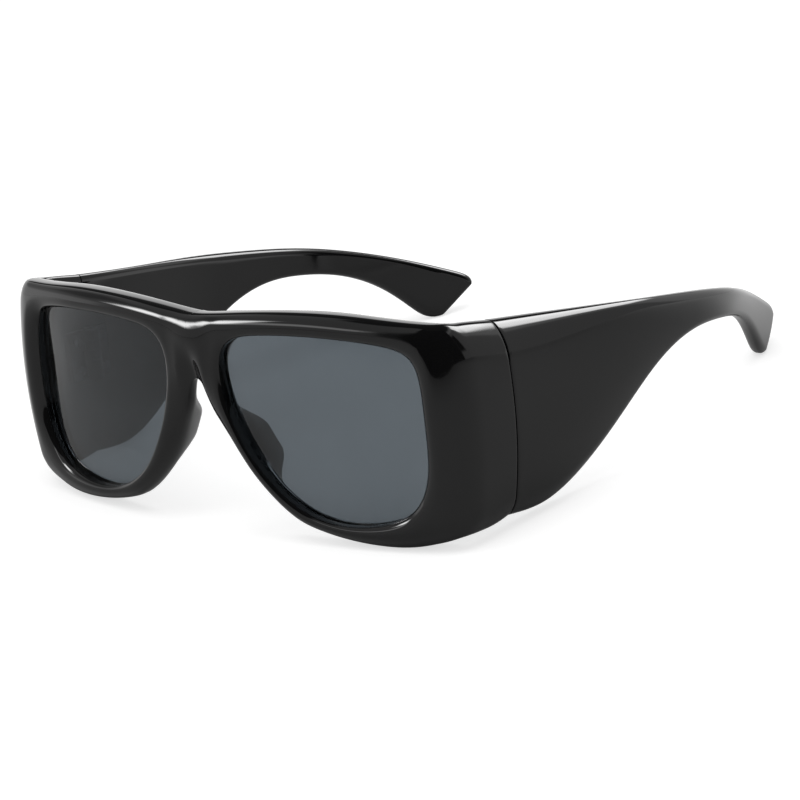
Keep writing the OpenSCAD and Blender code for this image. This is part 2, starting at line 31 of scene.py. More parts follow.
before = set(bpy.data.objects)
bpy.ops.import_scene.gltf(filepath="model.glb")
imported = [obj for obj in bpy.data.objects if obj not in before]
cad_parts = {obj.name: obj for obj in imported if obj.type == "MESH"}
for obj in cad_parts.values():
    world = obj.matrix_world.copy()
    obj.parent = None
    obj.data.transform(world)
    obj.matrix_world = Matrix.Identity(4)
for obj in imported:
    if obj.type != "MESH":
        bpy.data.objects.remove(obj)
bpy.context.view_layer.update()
scene = bpy.context.scene
print("frame loaded:", len(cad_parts), "solids")


# Camera, as the photograph was taken
cameraView = {
    "aim": (0.00042, 0.06934, 0.00821),
    "turn": 44.611,  # degrees round from straight in front, towards the wearer's left
    "height": 18.332,  # degrees above the table
    "roll": -9.538,
    "distance": 0.8,
    "lens": 146.83,
}


def makeCamera():
    turn, rise, roll = (math.radians(cameraView[k]) for k in ("turn", "height", "roll"))
    back = Vector((math.sin(turn) * math.cos(rise), -math.cos(turn) * math.cos(rise), math.sin(rise)))
    right = Vector((math.cos(turn), math.sin(turn), 0))
    up = back.cross(right)
    rolledRight = right * math.cos(roll) + up * math.sin(roll)
    rolledUp = up * math.cos(roll) - right * math.sin(roll)
    data = bpy.data.cameras.new("photoCamera")
    data.lens = cameraView["lens"]
    data.sensor_width = 36
    data.clip_start, data.clip_end = 0.01, 20
    camera = bpy.data.objects.new("photoCamera", data)
    camera.matrix_world = Matrix.Translation(Vector(cameraView["aim"]) + back * cameraView["distance"]) @ \
        Matrix((rolledRight, rolledUp, back)).transposed().to_4x4()
    scene.collection.objects.link(camera)
    scene.camera = camera


makeCamera()
print("camera placed")


# Curves and small helpers
def ramp(s):
    c = np.clip(s, 0, 1)
    return c * c * (3 - 2 * c)


def mix(a, b, s):
    return a + (b - a) * s


# 1 with an upright tangent at an edge, falling to 0 one radius in
def fall(s, power=2.0):
    c = 1 - np.clip(s, 0, 1)
    return 1 - (1 - c ** power) ** (1 / power)


# Shares that step evenly round such an edge, from the edge inwards
def roundShares(steps):
    return 1 - np.cos(np.linspace(0, math.pi / 2, steps + 1))


def splineAt(points, i, f):
    f = f[..., None]
    return ((1 - f) ** 3 * points[i] + (3 * f ** 3 - 6 * f ** 2 + 4) * points[i + 1]
            + (-3 * f ** 3 + 3 * f ** 2 + 3 * f + 1) * points[i + 2] + f ** 3 * points[i + 3]) / 6


def openSpline(points, s):
    p = np.asarray(points, float).reshape(len(points), -1)
    last = len(p) - 1
    t = np.clip(np.asarray(s, float), 0, 1) * last
    i = np.minimum(t.astype(int), last - 1)
    p = np.vstack([2 * p[0] - p[1], p, 2 * p[last] - p[last - 1]])
    return splineAt(p, i, t - i)


def closedSpline(points, t):
    p = np.asarray(points, float)
    n = len(p)
    t = np.asarray(t, float) % n
    i = np.minimum(t.astype(int), n - 1)
    return splineAt(np.vstack([p[-1:], p, p[:2]]), i, t - i)


def lineDistance(points, line):
    flat = points.reshape(-1, 2)
    a, ab = line[:-1], line[1:] - line[:-1]
    size = (ab * ab).sum(1)
    out = np.empty(len(flat))
    batch = 4000  # points at a time, to spare the memory
    for k in range(0, len(flat), batch):
        ap = flat[k:k + batch, None, :] - a
        s = np.clip((ap * ab).sum(2) / size, 0, 1)
        out[k:k + batch] = np.sqrt(((ap - s[..., None] * ab) ** 2).sum(2).min(1))
    return out.reshape(points.shape[:-1])


# Front: two rims, bridge, corners and side stubs, one moulding
frontShape = {
    # plan: a face that bends a little, the corners, and the sides up to the seam
    "halfWidth": 73.2, "faceRadius": 275, "cornerInset": 9, "cornerLength": 15, "sideLength": 10.1,
    "evenShare": 0.3,  # how much of a corner's bend is a plain arc
    # heights of the outline
    "browHeight": 53.9, "bridgeHeight": 51.1, "archHeight": 36.3, "seamTop": 49.7, "seamBottom": 4.6,
    "bridgeSaddle": 4,  # how broadly the brow line runs level over the bridge
    # brow line from the bridge over the brow to the seam: first shares of the rise, then of the fall
    "browRise": (0, 0.635, 0.98, 1), "browFall": (0.66, 0.6, 0),
    # underside from the seam to the middle of the arch: shares of the length, and of a height
    "underSide": [(1, 1), (0.93, 0.68), (0.765, 0.88), (0.645, 0), (0.47, 0.14)],
    "underNose": [(0.35, 0.074), (0.272, 0.135), (0.151, 0.393), (0.091, 0.64), (0.05, 0.78),
                  (0.036, 0.88), (0.017, 0.985), (0, 1)],
    # depths, and the crown that the sides have from top to bottom and the face hardly has
    "rimDepth": 9, "wall": 7.4, "hingeFlat": 8, "backLip": 0.6, "backChamfer": 4.6, "chamferCurve": 1.2,
    "sideCrown": 2.4, "faceCrown": 0.15, "crownFrom": 0.6, "crownPlace": 1.12,
    # roundings along the outline, and the parting line, which runs further forward along the brow
    "rimRound": 5.6, "browRound": 3.8, "bridgeRound": 6.5, "bridgeHalf": 10, "sideRound": 8.5,
    "backRound": 2, "seamRound": 0.3, "roundCurve": 2.15,
    "parting": 0.6, "rimPart": 5.2, "browPart": 3.6, "sidePart": 6.3, "partFrom": 0.5, "partTo": 0.8,
    # roundings of the rims at the lenses, and the shares of a lens over which they grow
    "edgeRound": 2.2, "edgeDrop": 1, "lowEdgeRound": 3.4, "lowEdgeDrop": 1.9, "lowEdgeTop": 0.4,
    "lowEdgeFade": 0.3, "templeEdgeRound": 4.6, "templeEdgeDrop": 2.5, "templeEdgeFrom": 0.55,
    # bridge: creased over the arch, swelling in the middle, thinner behind
    "creaseDepth": 2.2, "creaseHeight": 0.7, "creaseWidth": 0.5, "swell": 0.7, "swellHalf": 7.5,
    "bridgeThin": 4.2, "bridgeReach": 14, "thinAbove": 3, "fullBelow": 1, "partThin": 0.45,
    # nose pads
    "padHeight": 5.6, "padMiddle": 21.4, "padHalfLength": 10.4, "padSplay": 2, "padPlump": 1.3,
    # how the glasses lie on the table, in degrees and millimetres
    "layAngle": -5.47064, "layLift": 0.584181,
}
lensShape = {
    "width": 55.6, "height": 44, "noseGap": 8.8, "bottom": 4.9,
    "thickness": 2, "bulge": 1, "groove": 0.9, "clearance": 0.1,
    # how far a lens sits behind the face: at its upper nose corner, and more outwards and downwards
    "setBack": 1.9, "templeSet": 1.7, "lowSet": 1.5, "twist": 1.2,
    # the opening's outline, as shares of its width and height from its lower nose corner
    "outline": [(0.017, 0.904), (0.096, 0.968), (0.233, 0.988), (0.445, 1), (0.657, 0.992), (0.821, 0.965),
                (0.936, 0.927), (0.976, 0.811), (0.982, 0.636), (0.986, 0.434), (0.97, 0.248),
                (0.887, 0.08), (0.737, 0.018), (0.547, -0.008), (0.356, 0.044), (0.203, 0.183),
                (0.087, 0.372), (0.013, 0.585), (-0.011, 0.782)],
}
fs, ls = frontShape, lensShape

cornerStart = fs["halfWidth"] - fs["cornerInset"]
seamU = cornerStart + fs["cornerLength"] + fs["sideLength"]
cornerTurn = math.pi / 2 - seamU / fs["faceRadius"]
fineSteps = 4000  # for lengths that are looked up


# The front is drawn on a flat sheet, u along the face and z up, and wrapped round this plan curve
def heading(u):
    s = (u - cornerStart) / fs["cornerLength"]
    return u / fs["faceRadius"] + cornerTurn * mix(ramp(s), np.clip(s, 0, 1), fs["evenShare"])


planU = np.linspace(0, seamU, fineSteps + 1)
planStep = planU[1]
planX = np.concatenate([[0], np.cumsum(np.cos(heading(planU[:-1] + planStep / 2)))]) * planStep
planY = np.concatenate([[0], np.cumsum(np.sin(heading(planU[:-1] + planStep / 2)))]) * planStep
planX *= fs["halfWidth"] / planX[-1]
seamY = planY[-1]


def wrapped(sheet):
    u, z, d = sheet[..., 0], sheet[..., 1], sheet[..., 2]
    h = heading(u)
    x = np.interp(u, planU, planX) - d * np.sin(h)
    y = np.interp(u, planU, planY) + d * np.cos(h)
    return np.stack([x, y, z], -1)


openingN = len(ls["outline"])
openingControls = np.array([(ls["noseGap"] + a * ls["width"], ls["bottom"] + b * ls["height"])
                            for a, b in ls["outline"]])
browControls = [mix(fs["bridgeHeight"], fs["browHeight"], a) for a in fs["browRise"]] + \
               [mix(fs["seamTop"], fs["browHeight"], a) for a in fs["browFall"]]
underControls = [(a * seamU, b * fs["seamBottom"]) for a, b in fs["underSide"]] + \
                [(a * seamU, b * fs["archHeight"]) for a, b in fs["underNose"]]


# Unit direction out of the opening, square to its outline
def outwardAt(places):
    way = closedSpline(openingControls, places + 0.02) - closedSpline(openingControls, places - 0.02)
    return np.stack([-way[:, 1], way[:, 0]], -1) / np.linalg.norm(way, axis=1)[:, None]


def brow(u):
    u = np.asarray(u, float)
    way = np.hypot(u, fs["bridgeSaddle"]) / math.hypot(seamU, fs["bridgeSaddle"])
    return np.stack([u, openSpline(browControls, way)[..., 0]], -1)


bridgeTop = float(brow(0)[1])
underShares = np.linspace(0, 1, fineSteps + 1)
underDense = openSpline(underControls, underShares)


def underPlace(u):
    return np.interp(-np.asarray(u, float), -underDense[:, 0], underShares)


browLine = brow(np.linspace(0, seamU, 301))
underLine = openSpline(underControls, np.linspace(0, 1, 401))
openingLine = closedSpline(openingControls, np.linspace(0, openingN, 401))


def cornerShare(u):
    return ramp((u - cornerStart) / fs["cornerLength"])


def crownShare(u):
    start = fs["crownFrom"] * cornerStart
    return ramp((u - start) / (seamU - start))


# How much thinner the front is towards the bridge, up to a full top edge
def thinner(p):
    start, end = fs["archHeight"] + fs["thinAbove"], fs["bridgeHeight"] - fs["fullBelow"]
    full = ramp((p[..., 1] - start) / (end - start))
    return fs["bridgeThin"] * (1 - ramp(p[..., 0] / fs["bridgeReach"])) * (1 - full)


# How far the parting line lies behind the face
def partDepth(p):
    up = p[..., 1] / fs["browHeight"]
    rim = mix(fs["rimPart"], fs["browPart"], ramp((up - fs["partFrom"]) / (fs["partTo"] - fs["partFrom"])))
    return mix(rim, fs["sidePart"], cornerShare(p[..., 0])) - fs["partThin"] * thinner(p)


# The rounding of the rim's edge at the opening is larger below, and largest at the temple side
def edgeMix(p, kind):
    up = (p[..., 1] - ls["bottom"]) / ls["height"]
    out = (p[..., 0] - ls["noseGap"]) / ls["width"]
    low = mix(fs["edge" + kind], fs["lowEdge" + kind], ramp((fs["lowEdgeTop"] - up) / fs["lowEdgeFade"]))
    return mix(low, fs["templeEdge" + kind], ramp((out - fs["templeEdgeFrom"]) / (1 - fs["templeEdgeFrom"])))


def lensDepth(p):
    across = (p[..., 0] - ls["noseGap"]) / ls["width"]
    down = 1 - (p[..., 1] - ls["bottom"]) / ls["height"]
    return ls["setBack"] + ls["templeSet"] * across + ls["lowSet"] * down - ls["twist"] * across * down


# The front's outside: a crowned face that falls to the parting line round the outline, drops
# into the openings, and has the bridge's crease and swelling
def frontDepth(p):
    u, z = p[..., 0], p[..., 1]
    topRound = mix(mix(fs["bridgeRound"], fs["browRound"], ramp(u / fs["bridgeHalf"])),
                   fs["sideRound"], cornerShare(u))
    q = np.maximum(fall(lineDistance(p, browLine) / topRound, fs["roundCurve"]),
                   fall(lineDistance(p, underLine) / fs["rimRound"], fs["roundCurve"]))
    lift = 2 * (z - fs["seamBottom"]) / (fs["seamTop"] - fs["seamBottom"]) - fs["crownPlace"]
    base = fs["sideCrown"] * mix(fs["faceCrown"], 1, crownShare(u)) * lift ** 2
    creaseTop = mix(fs["archHeight"], fs["bridgeHeight"], fs["creaseHeight"])
    crease = fs["creaseDepth"] * ramp((creaseTop - z) / (creaseTop - fs["archHeight"])) \
        * (1 - ramp(u / (fs["creaseWidth"] * ls["noseGap"])))
    swell = fs["swell"] * (1 - ramp(u / fs["swellHalf"]))
    drop = edgeMix(p, "Drop") * fall(lineDistance(p, openingLine) / edgeMix(p, "Round"), fs["roundCurve"])
    seam = fs["seamRound"] * fall((seamU - u) / fs["seamRound"])
    edge = partDepth(p) - fs["parting"] / 2
    return base + (edge - base) * q + drop + (crease - swell + seam) * (1 - q)


innerX = fs["halfWidth"] - fs["wall"]
flatU = seamU - fs["hingeFlat"]


# The front's inside: flat where the hinge leaves lie, chamfered towards the lenses
def backDepth(p):
    u = p[..., 0]
    deep = np.clip(u, flatU, None)
    wallDepth = (np.interp(deep, planU, planX) - innerX) / np.sin(heading(deep))
    base = mix(fs["rimDepth"] - thinner(p), wallDepth, ramp((u - cornerStart) / (flatU - cornerStart)))
    lip = lensDepth(p) + ls["thickness"] + 2 * ls["clearance"] + fs["backLip"]
    chamfer = np.clip(1 - lineDistance(p, openingLine) / fs["backChamfer"], 0, 1) ** fs["chamferCurve"]
    off = np.minimum(lineDistance(p, browLine), lineDistance(p, underLine))
    edge = partDepth(p) + fs["parting"] / 2
    return base - (base - edge) * fall(off / fs["backRound"]) - np.maximum(base - lip, 0) * chamfer


# How strongly the nose pad's lobe stands out, at height z and share t of the way in to the lens
def padShare(z, t):
    along = 1 - np.abs(z - fs["padMiddle"]) / fs["padHalfLength"]
    return ramp(fs["padPlump"] * along) * np.sin(math.pi * t) ** fs["padPlump"]


# Shares of a length, closer together over its lower and its upper rounding
def rows(length, low, top, edge, middle):
    most = 0.42 * length  # a rounding takes no more than this
    a, b = min(low, most), min(top, most)
    steps = np.arange(1, middle) / middle
    return np.concatenate([edge * a, a + (length - a - b) * steps, (length - edge * b)[::-1]]) / length


# Shares across the rim at every station, from the outer edge to the lens opening
def acrossRim(length, outer, inner, outerShares, innerShares, middle):
    a, b = np.minimum(outer, 0.5 * length)[:, None], np.minimum(inner, 0.4 * length)[:, None]
    whole = length[:, None]
    m = whole - a - b
    steps = np.arange(1, middle + 1)[None, :] / middle
    return np.hstack([outerShares[None, :] * a, a + m * steps, whole - innerShares[None, :] * b]) / whole


# From the maker's position to lying on the table, in metres
def laid(points):
    p = np.asarray(points, float)
    a = math.radians(fs["layAngle"])
    y = p[..., 1] * math.cos(a) - p[..., 2] * math.sin(a)
    z = p[..., 1] * math.sin(a) + p[..., 2] * math.cos(a) + fs["layLift"]
    return np.stack([p[..., 0], y, z], -1) / 1000


def makeMesh(name, points, faces, mirrored=False, weld=0.0, sharp=32):
    bm = bmesh.new()
    verts = [bm.verts.new(p) for p in points]
    for f in faces:
        corners = [verts[i] for i in f]
        if len(set(corners)) > 2:
            bm.faces.new(corners)
    if mirrored:
        bmesh.ops.scale(bm, vec=(-1, 1, 1), verts=bm.verts)
    if weld:
        bmesh.ops.remove_doubles(bm, verts=bm.verts, dist=weld)
    bmesh.ops.recalc_face_normals(bm, faces=bm.faces)
    mesh = bpy.data.meshes.new(name)
    bm.to_mesh(mesh)
    bm.free()
    mesh.shade_smooth()
    mesh.set_sharp_from_angle(angle=math.radians(sharp))
    obj = bpy.data.objects.new(name, mesh)
    scene.collection.objects.link(obj)
    return obj


# How finely the front is meshed, and which places round the opening, counted in points of its
# outline, lie opposite the brow and the underside
frontSteps = {
    "rounding": 9, "openingEdge": 6, "backRounding": 5, "chamfer": 5, "rim": 12, "upright": 16,
    "brow": 60, "under": 100, "bridge": 3, "side": 36, "seam": 4,
    "browPlaces": [0.2, 1.45, 3, 4.45, 6.1], "underPlaces": [10.85, 13.2, 15.25, 16.85, 17.8],
}


def frontMesh():
    steps = frontSteps
    edge = roundShares(steps["rounding"])
    splitU = ls["noseGap"] + ls["width"] + fs["templeEdgeRound"]
    splitPlace = underPlace(splitU)

    def column(u):
        low, top = openSpline(underControls, underPlace(u))[1], brow(u)[1]
        shares = rows(top - low, fs["rimRound"], fs["sideRound"], edge, steps["upright"])
        return np.stack([np.full(len(shares), u), mix(low, top, shares)], -1)

    # Stations go round the opening in four runs: along the brow, down to where the corner's
    # columns start, along the underside to the arch, and up the middle of the bridge
    browN, underN = steps["brow"], steps["under"]
    browPlaces, underPlaces = steps["browPlaces"], steps["underPlaces"]
    split = column(splitU)[::-1]
    rowN = len(split)
    along = np.arange(browN) / browN
    places = [openSpline(browPlaces, along)[:, 0]]
    outer = [brow(splitU * along)]
    down = (split[0, 1] - split[:-1, 1]) / (split[0, 1] - split[-1, 1])
    places.append(mix(browPlaces[-1], underPlaces[0], down))
    outer.append(split[:-1])
    along = np.arange(underN) / underN
    places.append(openSpline(underPlaces, along)[:, 0])
    outer.append(openSpline(underControls, mix(splitPlace, 1, along)))
    up = rows(bridgeTop - fs["archHeight"], fs["rimRound"], fs["rimRound"], edge, steps["bridge"])[:-1]
    places.append(mix(underPlaces[-1], openingN + browPlaces[0], np.arange(len(up)) / len(up)))
    outer.append(np.stack([np.zeros(len(up)), mix(fs["archHeight"], bridgeTop, up)], -1))
    run = np.concatenate([[k] * len(p) for k, p in enumerate(places)])
    places, outer = np.concatenate(places), np.concatenate(outer)

    inner = closedSpline(openingControls, places)
    length = np.linalg.norm(outer - inner, axis=1)
    off = np.minimum(lineDistance(outer, browLine), lineDistance(outer, underLine))
    frontRows = acrossRim(length, mix(fs["rimRound"], fs["edgeRound"], ramp(off / fs["rimRound"])),
                          edgeMix(inner, "Round"), edge, roundShares(steps["openingEdge"])[::-1],
                          steps["rim"])
    backRows = acrossRim(length, fs["backRound"], fs["backChamfer"], roundShares(steps["backRounding"]),
                         np.linspace(1, 0, steps["chamfer"] + 1), steps["rim"])[:, ::-1]

    # Each station's ring: face, groove for the lens, back with the nose pad's lobe
    face = mix(outer[:, None], inner[:, None], frontRows[..., None])
    face = np.concatenate([face, frontDepth(face)[..., None]], -1)
    back = mix(outer[:, None], inner[:, None], backRows[..., None])
    lobe = np.where(run[:, None] >= 2, padShare(back[..., 1], backRows), 0)
    back = np.concatenate([back + np.stack([fs["padSplay"] * lobe, 0 * lobe], -1),
                           (backDepth(back) + fs["padHeight"] * lobe)[..., None]], -1)
    seat = lensDepth(inner)
    lip = inner + outwardAt(places) * ls["groove"]
    gap = ls["thickness"] + 2 * ls["clearance"]
    groove = np.stack([np.column_stack([inner, seat]), np.column_stack([lip, seat]),
                       np.column_stack([lip, seat + gap]), np.column_stack([inner, seat + gap])], 1)
    ring = np.concatenate([face, groove, back], 1)
    n, m = ring.shape[:2]

    # Regular columns carry on over the corner and the side to the seam
    seamEdge = seamU - fs["seamRound"] * roundShares(steps["seam"])[::-1]
    reach = np.concatenate([np.linspace(splitU, seamEdge[0], steps["side"] + 1)[1:], seamEdge[1:]])
    loops = []
    for u in reach:
        c = column(u)
        loops.append(np.concatenate([np.column_stack([c[::-1], frontDepth(c[::-1])]),
                                     np.column_stack([c, backDepth(c)])]))
    points = wrapped(np.concatenate([ring.reshape(-1, 3), np.concatenate(loops)]))
    loopN = 2 * rowN
    last = len(loops)

    def at(i, j):
        return (i % n) * m + j % m

    def loopAt(c, k):
        k %= loopN
        down = k if k < rowN else loopN - 1 - k
        if c == 0:
            return at(browN + down, 0 if k < rowN else m - 1)
        return n * m + (c - 1) * loopN + k

    # Rings are open where the columns and the other half join on; the seam's end is closed
    faces = [(at(i, j), at(i + 1, j), at(i + 1, j + 1), at(i, j + 1))
             for i in range(n) for j in range(m) if not (run[i] in (1, 3) and j == m - 1)]
    faces += [(loopAt(c, k + 1), loopAt(c, k), loopAt(c + 1, k), loopAt(c + 1, k + 1))
              for c in range(last) for k in range(loopN)]
    faces += [(loopAt(last, k + 1), loopAt(last, k), loopAt(last, loopN - 1 - k), loopAt(last, loopN - 2 - k))
              for k in range(rowN - 1)]
    # the right half mirrors the left, and they share the points on the middle plane
    half = laid(points)
    both = np.concatenate([half, half * (-1, 1, 1)])
    faces += [tuple(len(half) + i for i in f) for f in faces]
    middle = np.abs(both[:, 0]) < 1e-7
    both[middle, 0] = 0
    return makeMesh("front_moulding", both, faces, weld=2e-7, sharp=60)


frontPiece = frontMesh()
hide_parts("front_frame")
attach(frontPiece, "front")
print("front moulded:", len(frontPiece.data.vertices), "points")


# Lenses
def lensMesh(name, mirrored):
    count, rings = 220, 16
    places = np.linspace(0, openingN, count, endpoint=False)
    edge = closedSpline(openingControls, places) + (ls["groove"] - ls["clearance"]) * outwardAt(places)
    middle = np.array([ls["noseGap"] + ls["width"] / 2, ls["bottom"] + ls["height"] / 2])
    shares = np.sin(np.linspace(0, math.pi / 2, rings + 1))[1:]
    flat = np.vstack([middle, mix(middle, edge[None], shares[:, None, None]).reshape(-1, 2)])
    r = np.concatenate([[0], np.repeat(shares, count)])
    depth = lensDepth(flat) + ls["clearance"] - ls["bulge"] * (1 - r * r)
    sides = [np.column_stack([flat, depth + behind]) for behind in (0, ls["thickness"])]
    one = len(flat)

    def at(side, k, i):
        return side * one + (0 if k == 0 else 1 + (k - 1) * count + i % count)

    faces = []
    for side in (0, 1):
        faces += [(at(side, 0, 0), at(side, 1, i), at(side, 1, i + 1)) for i in range(count)]
        faces += [(at(side, k, i), at(side, k + 1, i), at(side, k + 1, i + 1), at(side, k, i + 1))
                  for k in range(1, rings) for i in range(count)]
    faces += [(at(0, rings, i), at(0, rings, i + 1), at(1, rings, i + 1), at(1, rings, i))
              for i in range(count)]
    return makeMesh(name, laid(wrapped(np.concatenate(sides))), faces, mirrored)


lensPieces = []
for side, mirrored in (("left", False), ("right", True)):
    piece = lensMesh("lens_pane_" + side, mirrored)
    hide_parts("lens_" + side)
    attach(piece, "front")
    lensPieces.append(piece)
print("lenses cut")


# Temples
templeShape = {
    "length": 127.3, "thickness": 4.2, "seamGap": 0.3, "neckShare": 0.6,
    "tipTop": 21.9, "tipBottom": 11.2, "tipRake": 13.1, "tipInset": 21.3,
    "tipStart": 0.93, "tipCorner": 4.5, "tipRound": 1.8, "neckRound": 2.4,
    "topLine": [1, 0.902, 0.817, 0.71, 0.586, 0.347, 0],
    "lowFront": [0, -0.04, 0.133, 0.417, 0.736, 0.945, 1.028],
    "lowBack": [0.996, 0.89, 0.61, 0],
    "bow": [0, 0.026, 0.05, 0.01, -0.092, -0.578, -1],  # outwards from the seam, as shares of the tip's inset
    # shares of the length: where the shield has thinned to the neck, where the tip starts to
    # thicken again, and where the crown has faded
    "thinTo": 0.42, "thickFrom": 0.6, "crownTo": 0.6,
    "tipThick": 0.2, "tipCrown": 0.2, "partShare": 0.52,
}
ts = templeShape
templeY = seamY + ts["seamGap"]
templeRun = ts["length"] - ts["seamGap"]
neckHeight = mix(fs["seamBottom"], fs["seamTop"], ts["neckShare"])
topControls = [mix(ts["tipTop"], fs["seamTop"], s) for s in ts["topLine"]]
lowControls = [mix(fs["seamBottom"], neckHeight, s) for s in ts["lowFront"]] + \
              [mix(ts["tipBottom"], neckHeight, s) for s in ts["lowBack"]]


# Where the temple's outside stands, y behind the maker's zero
def templeSide(y):
    return fs["halfWidth"] + ts["tipInset"] * openSpline(ts["bow"], (y - templeY) / templeRun)[:, 0]


# One upright section, share s of the way back and share e of the way round the tip's end
def templeSection(s, e):
    keep = (1 - e ** ts["tipCorner"]) ** (1 / ts["tipCorner"])
    low = np.array([templeY + s * (templeRun - ts["tipRake"]), openSpline(lowControls, s)[0]])
    top = np.array([templeY + s * templeRun, openSpline(topControls, s)[0]])
    low, top = mix((low + top) / 2, low, keep), mix((low + top) / 2, top, keep)
    length = np.linalg.norm(top - low)
    thin = ramp(s / ts["thinTo"])
    lowRound, topRound = (mix(fs[key], ts["neckRound"], thin) for key in ("rimRound", "sideRound"))
    thick = mix(fs["wall"], ts["thickness"], thin) \
        + ts["tipThick"] * ts["thickness"] * ramp((s - ts["thickFrom"]) / (1 - ts["thickFrom"]))
    part = mix(fs["sidePart"], ts["partShare"] * thick, thin)
    lean = fs["sideCrown"] * mix(1, ts["tipCrown"], ramp(s / ts["crownTo"]))
    end = fall((1 - e) * (1 - ts["tipStart"]) * templeRun / ts["tipRound"])
    seam = ts["seamGap"] * fall(s * templeRun / ts["seamGap"])

    v = rows(length, lowRound, topRound, roundShares(9), 16)
    p = mix(low, top, v[:, None])
    base = lean * (2 * v - fs["crownPlace"]) ** 2
    q = np.maximum(fall(v * length / lowRound, fs["roundCurve"]),
                   fall((1 - v) * length / topRound, fs["roundCurve"]))
    q = np.maximum(q, end)
    depth = base + (part - fs["parting"] / 2 - base) * q + seam * (1 - q)
    outside = np.column_stack([templeSide(p[:, 0]) - depth, p])

    v = rows(length, fs["backRound"], fs["backRound"], roundShares(7), 12)
    p = mix(top, low, v[:, None])
    q = np.maximum(fall(np.minimum(v, 1 - v) * length / fs["backRound"]), end)
    depth = thick - (thick - part - fs["parting"] / 2) * q
    return np.vstack([outside, np.column_stack([templeSide(p[:, 0]) - depth, p])])


def templeMesh(name, mirrored):
    seam = ts["seamGap"] / templeRun
    shares = np.concatenate([seam * roundShares(4)[:-1], np.linspace(seam, ts["tipStart"], 130)])
    stations = [(s, 0) for s in shares]
    tipN = 20
    for i in range(1, tipN + 1):
        e = math.sin(math.radians(89.2) * i / tipN)  # stops short of a point, and a small face closes it
        stations.append((mix(ts["tipStart"], 1, e), e))
    sections = [templeSection(s, e) for s, e in stations]
    m, n = len(sections[0]), len(sections)
    faces = [(i * m + j, i * m + (j + 1) % m, (i + 1) * m + (j + 1) % m, (i + 1) * m + j)
             for i in range(n - 1) for j in range(m)]
    faces.append(tuple(range(m))[::-1])
    faces.append(tuple((n - 1) * m + j for j in range(m)))
    return makeMesh(name, laid(np.concatenate(sections)), faces, mirrored)


templePieces = []
for side, mirrored in (("left", False), ("right", True)):
    piece = templeMesh("temple_moulding_" + side, mirrored)
    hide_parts("temple_" + side)
    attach(piece, side + "_temple")
    templePieces.append(piece)
print("temples moulded:", len(templePieces[0].data.vertices), "points each")


# Materials
def place(tree, kind, **values):
    node = tree.nodes.new(kind)
    for key, value in values.items():
        if hasattr(node, key):
            setattr(node, key, value)
        else:
            node.inputs[key.replace("_", " ")].default_value = value
    return node


def newGroup(name, inputs, outputs):
    group = bpy.data.node_groups.new(name, "ShaderNodeTree")
    for label, value in inputs:
        socket = group.interface.new_socket(label, in_out="INPUT", socket_type="NodeSocketFloat")
        socket.default_value = value
    for label in outputs:
        group.interface.new_socket(label, in_out="OUTPUT", socket_type="NodeSocketFloat")
    return group, group.nodes.new("NodeGroupInput"), group.nodes.new("NodeGroupOutput")


def maths(tree, operation, a, b=None, clamp=False):
    node = place(tree, "ShaderNodeMath", operation=operation, use_clamp=clamp)
    for k, value in enumerate((a, b)):
        if value is None:
            continue
        if isinstance(value, (int, float)):
            node.inputs[k].default_value = value
        else:
            tree.links.new(value, node.inputs[k])
    return node.outputs[0]


# Marks of use: fine scratches in two directions, smudges from fingers, and specks of dust
handling = {
    "directions": ((0.5, 0.03), (2.2, 0.05)),  # each set of scratches: its turn, and how drawn out it is
    "scratchLevel": 0.56, "scratchSharpness": 150.0,
    "patchScale": 70.0, "patchLevel": 0.5, "patchSharpness": 6.0,
    "smudgeLevel": 0.42, "smudgeSharpness": 3.2, "speckSharpness": 9.0,
}


def buildHandlingMarks():
    inputs = [("Scratch Scale", 260.0), ("Smudge Scale", 45.0), ("Dust Scale", 900.0)]
    tree, given, out = newGroup("handlingMarks", inputs, ["Scratches", "Smudges", "Dust"])
    spot = place(tree, "ShaderNodeTexCoord").outputs["Object"]

    def above(value, level, sharpness):
        return maths(tree, "MULTIPLY", maths(tree, "SUBTRACT", value, level), sharpness, clamp=True)

    def near(away, sharpness):
        return maths(tree, "SUBTRACT", 1.0, maths(tree, "MULTIPLY", away, sharpness), clamp=True)

    lines = []
    for turn, stretch in handling["directions"]:
        mapping = place(tree, "ShaderNodeMapping")
        mapping.inputs["Rotation"].default_value = (turn, turn * 0.6, turn * 1.7)
        mapping.inputs["Scale"].default_value = (1, stretch, 1)
        tree.links.new(spot, mapping.inputs["Vector"])
        noise = place(tree, "ShaderNodeTexNoise", Detail=3.0, Roughness=0.6)
        tree.links.new(mapping.outputs[0], noise.inputs["Vector"])
        tree.links.new(given.outputs["Scratch Scale"], noise.inputs["Scale"])
        away = maths(tree, "ABSOLUTE", maths(tree, "SUBTRACT", noise.outputs[0], handling["scratchLevel"]))
        lines.append(near(away, handling["scratchSharpness"]))
    patchy = place(tree, "ShaderNodeTexNoise", Scale=handling["patchScale"], Detail=2.0)
    tree.links.new(spot, patchy.inputs["Vector"])
    few = above(patchy.outputs[0], handling["patchLevel"], handling["patchSharpness"])
    tree.links.new(maths(tree, "MULTIPLY", maths(tree, "MAXIMUM", *lines), few), out.inputs["Scratches"])
    smear = place(tree, "ShaderNodeTexNoise", Detail=5.0, Roughness=0.62, Distortion=0.8)
    tree.links.new(spot, smear.inputs["Vector"])
    tree.links.new(given.outputs["Smudge Scale"], smear.inputs["Scale"])
    tree.links.new(above(smear.outputs[0], handling["smudgeLevel"], handling["smudgeSharpness"]),
                   out.inputs["Smudges"])
    specks = place(tree, "ShaderNodeTexVoronoi", feature="F1", Randomness=1.0)
    tree.links.new(spot, specks.inputs["Vector"])
    tree.links.new(given.outputs["Dust Scale"], specks.inputs["Scale"])
    tree.links.new(near(specks.outputs["Distance"], handling["speckSharpness"]), out.inputs["Dust"])
    return tree


